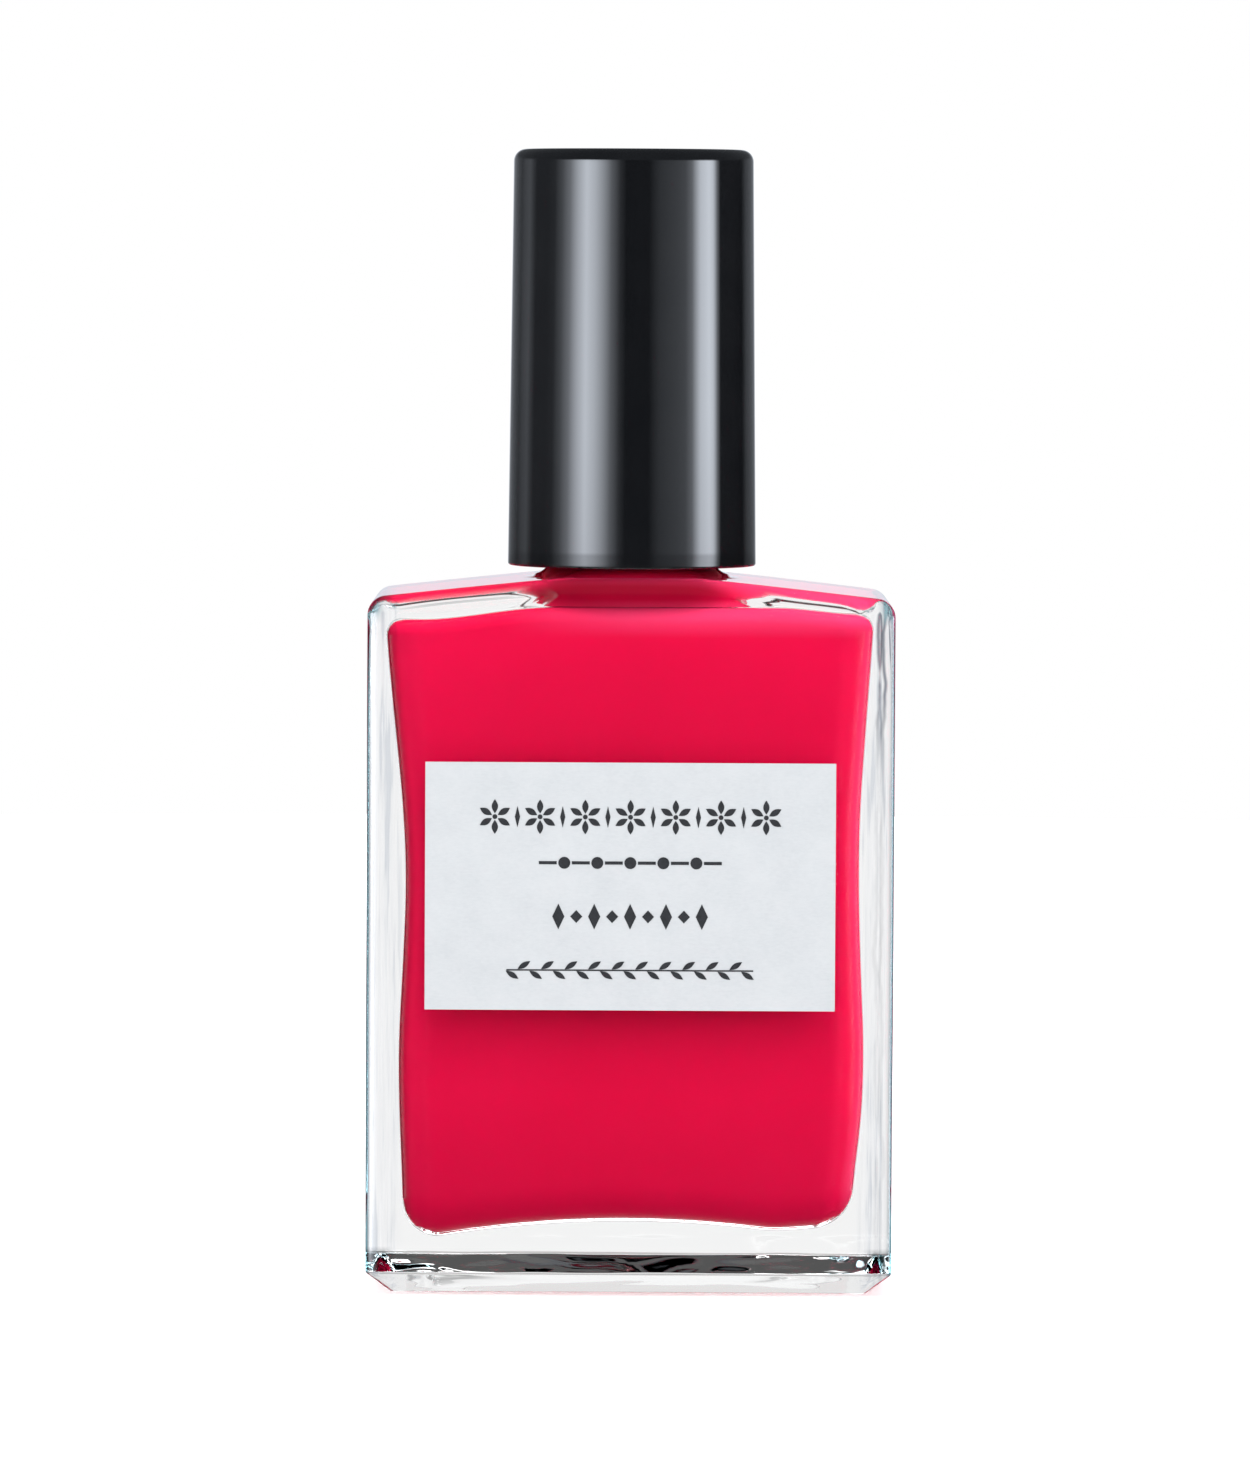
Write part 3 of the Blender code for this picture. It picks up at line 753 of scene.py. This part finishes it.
def make_cap():
    top_r = 8.45
    foot_r = cap_high[0]
    edge = 0.85
    lip = 0.18
    bore = 7.6
    roof_thickness = 1.6
    inner_edge = 0.3
    roof = cap_high[2] - roof_thickness
    foot = cap_low[2]
    profile = [(r, cap_high[2]) for r in np.linspace(0.4, top_r - edge, 12)]
    profile += arc((top_r - edge, cap_high[2] - edge), edge, 90, 0, 12)[1:]
    for t in np.linspace(0, 1, 30)[1:]:
        z = cap_high[2] - edge + (foot + lip - cap_high[2] + edge) * t
        profile.append((top_r + (foot_r - top_r) * t, z))
    profile += arc((foot_r - lip, foot + lip), lip, 0, -90, 5)[1:]
    profile += arc((bore + lip, foot + lip), lip, 270, 180, 5)
    profile += [(bore, z) for z in np.linspace(foot + lip, roof - inner_edge, 16)[1:]]
    profile += arc((bore - inner_edge, roof - inner_edge), inner_edge, 0, 90, 4)[1:]
    profile += [(r, roof) for r in np.linspace(bore - inner_edge, 0.4, 8)[1:]]
    mesh = skin("cap_shell", turned_rings(profile), (CAP_BLACK,))
    add_piece("cap_shell", mesh, "cap", "gloss_black_plastic", "outer_cap")


def make_closure():
    """The threaded inner closure: skirt, web, socket and the ribs that grip the outer shell."""
    skirt, skirt_bore, socket, socket_bore = 7.3, 6.65, 4.0, 2.7
    web, web_thickness = 65.5, 1.2
    web_top = web + web_thickness
    foot = closure_low[2]
    top = 72.0
    thread_depth, thread_width = 0.5, 0.55
    rib_count = 6
    rib_size = (2.9 * MM, 1.0 * MM, 9.6 * MM, 1.0)
    rib_middle = (5.7 * MM, 0, 71.6 * MM)
    profile = [(r, top) for r in np.linspace(0.3, socket - 0.25, 6)]
    profile += arc((socket - 0.25, top - 0.25), 0.25, 90, 0, 4)[1:]
    profile += [(socket, z) for z in np.linspace(top - 0.25, web_top + 0.3, 10)[1:]]
    profile += arc((socket + 0.3, web_top + 0.3), 0.3, 180, 270, 4)[1:]
    profile += [(r, web_top) for r in np.linspace(socket + 0.3, skirt - 0.2, 6)[1:]]
    profile += arc((skirt - 0.2, web_top - 0.2), 0.2, 90, 0, 4)[1:]
    profile += [(skirt, z) for z in np.linspace(web_top - 0.2, foot + 0.15, 30)[1:]]
    profile += arc((skirt - 0.15, foot + 0.15), 0.15, 0, -90, 4)[1:]
    profile += arc((skirt_bore + 0.15, foot + 0.15), 0.15, 270, 180, 4)
    rings = turned_rings(profile)
    start = THREAD_START - THREAD_LEAD / 2
    for z in np.linspace(foot + 0.15, web - 0.2, 110)[1:]:
        ring = round_ring(skirt_bore, z)
        angles = np.arctan2(ring[:, 1], ring[:, 0]) % (2 * math.pi)
        height = thread_height(z, angles, start, CLOSURE_TURNS, THREAD_LEAD, thread_width)
        drawn = 1 - thread_depth / skirt_bore * height
        rings.append(ring * np.column_stack((drawn, drawn, np.ones_like(drawn))))
    inside = arc((skirt_bore - 0.2, web - 0.2), 0.2, 0, 90, 4)[1:]
    inside += [(r, web) for r in np.linspace(skirt_bore - 0.2, socket_bore, 6)[1:]]
    inside += [(socket_bore, z) for z in np.linspace(web, top - 1.2, 10)[1:]]
    inside += [(r, top - 1.2) for r in np.linspace(socket_bore, 0.3, 5)[1:]]
    rings += turned_rings(inside)
    mesh = skin("closure_insert", rings, (CLOSURE,))
    bm = bmesh.new()
    bm.from_mesh(mesh)
    for number in range(rib_count):
        turn = Matrix.Rotation(math.tau * (number + 0.5) / rib_count, 4, "Z")
        place = turn @ Matrix.Translation(rib_middle) @ Matrix.Diagonal(rib_size)
        made = bmesh.ops.create_cube(bm, size=1.0, matrix=place)
        edges = list({e for v in made["verts"] for e in v.link_edges})
        bmesh.ops.bevel(bm, geom=edges, offset=0.12 * MM, segments=2, affect="EDGES", profile=0.5)
    bm.to_mesh(mesh)
    bm.free()
    mesh.shade_smooth()
    mesh.set_sharp_from_angle(angle=math.radians(40))
    add_piece("closure_insert", mesh, "cap", "closure_plastic", "inner_cap")


def make_liner():
    low, high = liner_low[2], liner_high[2]
    outer_r = liner_high[0]
    bore = 2.3
    edge = 0.12
    profile = []
    for middle, start in (((outer_r - edge, high - edge), 90), ((outer_r - edge, low + edge), 0),
                          ((bore + edge, low + edge), -90), ((bore + edge, high - edge), -180)):
        profile += arc(middle, edge, start, start - 90, 4)
    mesh = skin("liner_washer", turned_rings(profile), (FOAM,), loop=True)
    add_piece("liner_washer", mesh, "seal", "liner_foam", "cap_liner")


def make_stem():
    top, foot = stem_high[2], stem_low[2]
    flange_top, flange_foot = 65.2, 64.2
    profile = [(r, top) for r in np.linspace(0.2, 2.1, 5)]
    profile += arc((2.1, top - 0.3), 0.3, 90, 0, 4)[1:]
    profile += [(2.4, z) for z in np.linspace(top - 0.3, flange_top, 8)[1:]]
    profile += [(r, flange_top) for r in np.linspace(2.4, 5.4, 6)[1:]]
    profile += arc((5.4, flange_top - 0.2), 0.2, 90, 0, 3)[1:]
    profile += arc((5.4, flange_foot + 0.2), 0.2, 0, -90, 3)
    profile += [(r, flange_foot) for r in np.linspace(5.4, 2.4, 6)[1:]]
    profile += arc((2.4, flange_foot - 0.5), 0.5, 90, 180, 5)[1:]
    for t in np.linspace(0, 1, 60)[1:]:
        profile.append((1.9 - 0.1 * t, flange_foot - 0.5 + (foot + 0.15 - flange_foot + 0.5) * t))
    profile += arc((1.65, foot + 0.15), 0.15, 0, -90, 4)[1:]
    profile += [(1.3, foot), (1.3, foot + 2.0), (1.3, foot + 4.2), (0.6, foot + 4.2), (0.2, foot + 4.2)]
    mesh = skin("stem_turned", turned_rings(profile), (STEM,))
    add_piece("stem_turned", mesh, "cap", "stem_plastic", "brush_stem")


def make_tuft():
    """Filaments that leave the stem's hole as a round bundle and fan out to a flat rounded tip."""
    chance = random.Random(11)
    root = tuft_high[2]
    tip = tuft_low[2]
    half_width = tuft_high[0] - 0.1
    half_depth = tuft_high[1] - 0.1
    bundle = 0.95  # the round bundle's radius in the stem
    sides, steps, thick = 5, 12, 0.055
    verts = []
    faces = []
    for _ in range(FILAMENTS):
        radius = math.sqrt(chance.random())
        angle = chance.uniform(0, math.tau)
        u, v = radius * math.cos(angle), radius * math.sin(angle)
        wander = chance.uniform(-0.05, 0.05)
        end = tip + 2.6 * abs(u) ** 3 + chance.uniform(0.0, 0.35)
        first = len(verts)
        for k in range(steps + 1):
            z = root + (end - root) * k / steps
            free = min(1.0, max(0.0, (stem_low[2] - z) / (stem_low[2] - tip)))
            spread = math.sin(min(1.0, free / 0.65) * math.pi / 2)
            pinch = 1 - 0.22 * max(0.0, (free - 0.7) / 0.3) ** 2
            x = u * (bundle + (half_width - bundle) * spread) * pinch + wander * free
            y = v * (bundle + (half_depth - bundle) * spread) * pinch
            size = thick * (1.0 - 0.35 * max(0.0, free - 0.8) / 0.2)
            for s in range(sides):
                turn = math.tau * s / sides
                verts.append(((x + size * math.cos(turn)) * MM, (y + size * math.sin(turn)) * MM, z * MM))
        for k in range(steps):
            for s in range(sides):
                a = first + k * sides + s
                b = first + k * sides + (s + 1) % sides
                faces.append((a, b, b + sides, a + sides))
        faces.append(tuple(first + s for s in range(sides)))
        faces.append(tuple(first + steps * sides + s for s in reversed(range(sides))))
    mesh = bpy.data.meshes.new("tuft_filaments")
    mesh.from_pydata(verts, [], faces)
    mesh.update()
    mesh.materials.append(BRISTLE)
    turn_outwards(mesh)
    mesh.shade_smooth()
    add_piece("tuft_filaments", mesh, "cap", "bristle", "brush_tuft")


def make_balls():
    ball_wave = 0.002  # unevenness of a ball, as a share of its radius
    for number in (1, 2):
        low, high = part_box(f"mixing_ball_{number}")
        bm = bmesh.new()
        bmesh.ops.create_icosphere(bm, subdivisions=5, radius=(high.x - low.x) / 2)
        for vert in bm.verts:
            vert.co *= 1 + ball_wave * noise.noise(vert.co * 900.0)
        mesh = mesh_of(bm, f"steel_ball_{number}", STEEL)
        mesh.transform(Matrix.Translation((low + high) / 2))
        mesh.shade_smooth()
        add_piece(f"steel_ball_{number}", mesh, f"ball_{number}", "steel", f"mixing_ball_{number}")


# Label: a paper sheet with a generic printed ornament of leaves, beads and lozenges

LABEL_FRONT = -(BODY_B + 0.14)
LABEL_BACK = -(BODY_B + 0.02)
INK_THICKNESS = 0.022


def make_label():
    half_w = label_high[0]
    middle = (label_high[2] + label_low[2]) / 2
    half_h = (label_high[2] - label_low[2]) / 2
    bm = bmesh.new()
    columns, rows = 72, 44
    grid = {}
    for side, y in ((0, LABEL_FRONT), (1, LABEL_BACK)):
        for i in range(columns + 1):
            for j in range(rows + 1):
                x = half_w * (2 * i / columns - 1)
                z = middle + half_h * (2 * j / rows - 1)
                lift = 0.006 * noise.noise(Vector((x * 0.4, side, z * 0.4)))
                ease = min(i, j, columns - i, rows - j)
                soften = 0.03 if ease == 0 and side == 0 else 0.0
                grid[side, i, j] = bm.verts.new((x * MM, (y + lift * (1 - side) + soften) * MM, z * MM))
    for i in range(columns):
        for j in range(rows):
            for side in (0, 1):
                ring = [grid[side, i + di, j + dj] for di, dj in ((0, 0), (1, 0), (1, 1), (0, 1))]
                bm.faces.new(ring if side == 0 else ring[::-1])
    border = [(i, 0) for i in range(columns)] + [(columns, j) for j in range(rows)]
    border += [(i, rows) for i in range(columns, 0, -1)] + [(0, j) for j in range(rows, 0, -1)]
    for (i, j), (k, m) in zip(border, border[1:] + border[:1]):
        bm.faces.new((grid[0, k, m], grid[0, i, j], grid[1, i, j], grid[1, k, m]))
    bmesh.ops.recalc_face_normals(bm, faces=bm.faces)
    mesh = mesh_of(bm, "label_sheet", PAPER)
    mesh.shade_smooth()
    mesh.set_sharp_from_angle(angle=math.radians(50))
    add_piece("label_sheet", mesh, "bottle", "label_paper", "front_label")


def outline_leaf(length, width, angle):
    points = []
    for side in (1, -1):
        for t in np.linspace(0, 1, 9)[:-1]:
            along = length * (t - 0.5) * side
            across = width / 2 * math.sin(math.pi * t) * side
            points.append((along, across))
    cosine, sine = math.cos(math.radians(angle)), math.sin(math.radians(angle))
    return [(x * cosine - y * sine, x * sine + y * cosine) for x, y in points]


def outline_disc(radius, steps=20):
    angles = [math.tau * i / steps for i in range(steps)]
    return [(radius * math.cos(t), radius * math.sin(t)) for t in angles]


def outline_lozenge(width, height):
    return [(width / 2, 0), (0, height / 2), (-width / 2, 0), (0, -height / 2)]


def outline_bar(width, height):
    return [(width / 2 * i, height / 2 * j) for i, j in ((1, 1), (-1, 1), (-1, -1), (1, -1))]


def make_print():
    """Four rows of ornament: rosettes, a beaded rule, lozenges and a leaf garland."""
    bm = bmesh.new()
    top = label_high[2]

    def stamp(outline, x, z):
        front, back = (
            [bm.verts.new(((x + px) * MM, y * MM, (z + pz) * MM)) for px, pz in outline]
            for y in (LABEL_FRONT - INK_THICKNESS, LABEL_FRONT + 0.012)
        )
        bm.faces.new(front)
        bm.faces.new(back[::-1])
        for i in range(len(outline)):
            j = (i + 1) % len(outline)
            bm.faces.new((front[i], front[j], back[j], back[i]))

    row, pitch, reach = top - 3.8, 3.15, 0.72
    for k in range(-3, 4):
        for petal in range(6):
            angle = 30 + 60 * petal
            turn = math.radians(angle)
            petal_x, petal_z = reach * math.cos(turn), reach * math.sin(turn)
            stamp(outline_leaf(0.98, 0.44, angle), pitch * k + petal_x, row + petal_z)
        stamp(outline_disc(0.17), pitch * k, row)
    for k in range(-3, 3):
        stamp(outline_lozenge(0.36, 1.5), pitch * (k + 0.5), row)
    row, pitch = top - 7.0, 1.15
    for k in range(-5, 6):
        if k % 2:
            stamp(outline_bar(1.25, 0.22), pitch * k, row)
        else:
            stamp(outline_disc(0.42), pitch * k, row)
    row, pitch = top - 10.75, 1.25
    for k in range(-4, 5):
        stamp(outline_lozenge(0.85, 1.8 if k % 2 == 0 else 0.9), pitch * k, row)
    row, pitch = top - 14.5, 0.82
    stamp(outline_bar(17.2, 0.10), 0.0, row)
    for k in range(-10, 11):
        side = 1 if k % 2 else -1
        stamp(outline_leaf(1.05, 0.38, 32 * side), pitch * k, row + 0.34 * side)
    bmesh.ops.recalc_face_normals(bm, faces=bm.faces)
    mesh = mesh_of(bm, "label_print", INK)
    add_piece("label_print", mesh, "bottle", "label_paper")


make_glass()
make_lacquer()
make_cap()
make_closure()
make_liner()
make_stem()
make_tuft()
make_balls()
make_label()
make_print()

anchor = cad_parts["brush_anchor"]
anchor.data.materials.clear()
anchor.data.materials.append(STEEL)


# Studio: floor, world and camera

def make_floor():
    bm = bmesh.new()
    bmesh.ops.create_circle(bm, cap_ends=True, segments=96, radius=0.5)
    made = speckled(
        "pale_floor", (0.955, 0.955, 0.96), (0.965, 0.965, 0.97), 60.0, (0.7, 0.8), specular=0.1,
        bump_distance=0.0001, bump_strength=0.05,
    )
    shader = made.node_tree.nodes["Principled BSDF"]
    shader.inputs["Emission Color"].default_value = (1.0, 1.0, 1.0, 1.0)
    shader.inputs["Emission Strength"].default_value = 0.30
    floor = add_object("studio_floor", mesh_of(bm, "studio_floor", made))
    floor.location = (0.0, 0.0, -0.00005)
    floor.visible_glossy = False
    floor.visible_transmission = False


def azimuth_pattern(tree, azimuth, strips):
    """A lighting pattern round the horizon, from pairs of azimuth in degrees and strength; 0 is in front."""
    peak = max(strength for _, strength in strips)
    stops = [((angle + 180.0) / 360.0, (strength / peak,) * 3) for angle, strength in strips]
    return scaled(tree, ramp(tree, azimuth, stops), peak)


def tinted(tree, colour, tint):
    made = node(tree, "ShaderNodeVectorMath", operation="MULTIPLY")
    made.inputs[1].default_value = tint
    link(tree, colour, made.inputs[0])
    return made.outputs[0]


def between(tree, height, low, high, first=0.0, last=1.0):
    """Goes from first to last between two elevations, in degrees; height is the sine of the elevation."""
    return map_range(tree, height, math.sin(math.radians(low)), math.sin(math.radians(high)), first, last)


def grey(level):
    return level, level, level, 1.0


def gloss_light(tree, azimuth, height):
    """What the gloss sees: two soft boxes, a dim card and black flags, faded below and dim overhead."""
    strips = azimuth_pattern(tree, azimuth, (
        (-180, 0.92), (-169, 0.66), (-163, 0.36), (-135, 0.18), (-118, 0.62), (-107, 0.12), (-90, 0.14),
        (-81, 0.25), (-72, 1.15), (-63, 3.2), (-54, 8.4), (-45.5, 12.6), (-37, 10.0), (-29, 6.2), (-21, 2.2),
        (-13, 0.42), (-7, 0.0), (15, 0.0), (25, 0.50), (43, 0.90), (51, 1.2), (58, 2.7), (67, 11.0),
        (77, 13.0), (82, 10.5), (87, 2.5), (91, 0.05), (126, 0.0), (136, 0.25), (163, 0.32), (169, 0.66),
        (180, 0.92),
    ))
    strips = scaled(tree, strips, between(tree, height, -3.2, -0.2, 0.62, 1.0))
    strips = scaled(tree, strips, between(tree, height, -13.9, -8.6, 0.24, 1.0))
    shown = blended(tree, between(tree, height, 4.0, 12.0), strips, grey(0.12))
    return tinted(tree, shown, (0.935, 1.0, 1.10))


def clear_light(tree, azimuth, height):
    """What shows through the glass: a white panel with dim bars behind, soft boxes in front and overhead."""
    level = azimuth_pattern(tree, azimuth, (
        (-180, 0.97), (-175, 0.97), (-170, 0.80), (-163, 0.62), (-157, 0.97), (-147, 0.70), (-140, 0.97),
        (-126, 0.9), (-118, 0.12), (-104, 0.12), (-96, 0.9), (-74, 0.9), (-54, 2.1), (-22, 2.1), (-12, 0.5),
        (12, 0.5), (22, 2.1), (56, 2.1), (66, 11.0), (89, 11.0), (97, 0.05), (121, 0.05), (129, 0.9),
        (140, 0.97), (147, 0.55), (154, 0.97), (163, 0.60), (170, 0.80), (175, 0.97), (180, 0.97),
    ))
    lower = azimuth_pattern(tree, azimuth, (
        (-180, 0.50), (-120, 0.30), (-96, 0.60), (-74, 0.7), (-54, 2.1), (-22, 2.1), (-12, 0.8), (12, 0.8),
        (22, 2.1), (56, 2.1), (66, 11.0), (89, 11.0), (98, 0.30), (120, 0.30), (180, 0.50),
    ))
    upper = azimuth_pattern(tree, azimuth, (
        (-180, 0.85), (-96, 0.85), (-74, 0.7), (-54, 2.1), (56, 2.1), (66, 8.0), (89, 8.0), (98, 0.85),
        (180, 0.85),
    ))
    shown = blended(tree, between(tree, height, 2.5, 9.0), level, lower)
    shown = blended(tree, between(tree, height, 13.0, 19.0), shown, upper)
    shown = blended(tree, between(tree, height, 46.0, 54.0), shown, grey(8.0))
    shown = blended(tree, between(tree, height, 74.0, 78.0), shown, grey(0.10))
    return blended(tree, between(tree, height, -14.0, -8.0), grey(0.97), shown)


def matt_light(tree, azimuth, height):
    """What lights matt surfaces: an even dome, brighter at the front left and overhead."""
    dome = azimuth_pattern(tree, azimuth, (
        (-180, 0.9), (-90, 1.0), (-45, 1.25), (0, 1.0), (70, 1.15), (120, 0.9), (180, 0.9),
    ))
    return blended(tree, between(tree, height, 26.7, 58.2), dome, grey(1.9))


def make_world():
    world = bpy.data.worlds.new("studio")
    bpy.context.scene.world = world
    world.use_nodes = True
    tree = world.node_tree
    x, y, height = xyz(tree, node(tree, "ShaderNodeTexCoord").outputs["Generated"])
    angle = combined(tree, "ARCTAN2", x, combined(tree, "MULTIPLY", y, -1.0))
    azimuth = map_range(tree, angle, -math.pi, math.pi, 0.0, 1.0)
    path = node(tree, "ShaderNodeLightPath")
    matt = matt_light(tree, azimuth, height)
    shown = blended(tree, path.outputs["Is Glossy Ray"], matt, gloss_light(tree, azimuth, height))
    shown = blended(tree, path.outputs["Is Transmission Ray"], shown, clear_light(tree, azimuth, height))
    shown = blended(tree, path.outputs["Is Camera Ray"], shown, grey(1.0))
    link(tree, shown, tree.nodes["Background"].inputs["Color"])


def make_camera():
    """A long lens in front of the label, looking down a little."""
    place = (-0.00042, -0.620, 0.074)
    pitch = math.radians(3.23)
    roll = math.radians(0.296)
    data = bpy.data.cameras.new("photo_view")
    data.lens = 216.45
    data.sensor_width = 36.0
    data.clip_start = 0.01
    data.clip_end = 20.0
    camera = bpy.data.objects.new("photo_view", data)
    bpy.context.scene.collection.objects.link(camera)
    facing = Matrix.Rotation(math.pi / 2 - pitch, 4, "X")
    lean = Matrix.Rotation(roll, 4, "Z")
    camera.matrix_world = Matrix.Translation(place) @ facing @ lean
    bpy.context.scene.camera = camera


make_floor()
make_world()
make_camera()
bpy.context.scene.view_settings.view_transform = "Standard"
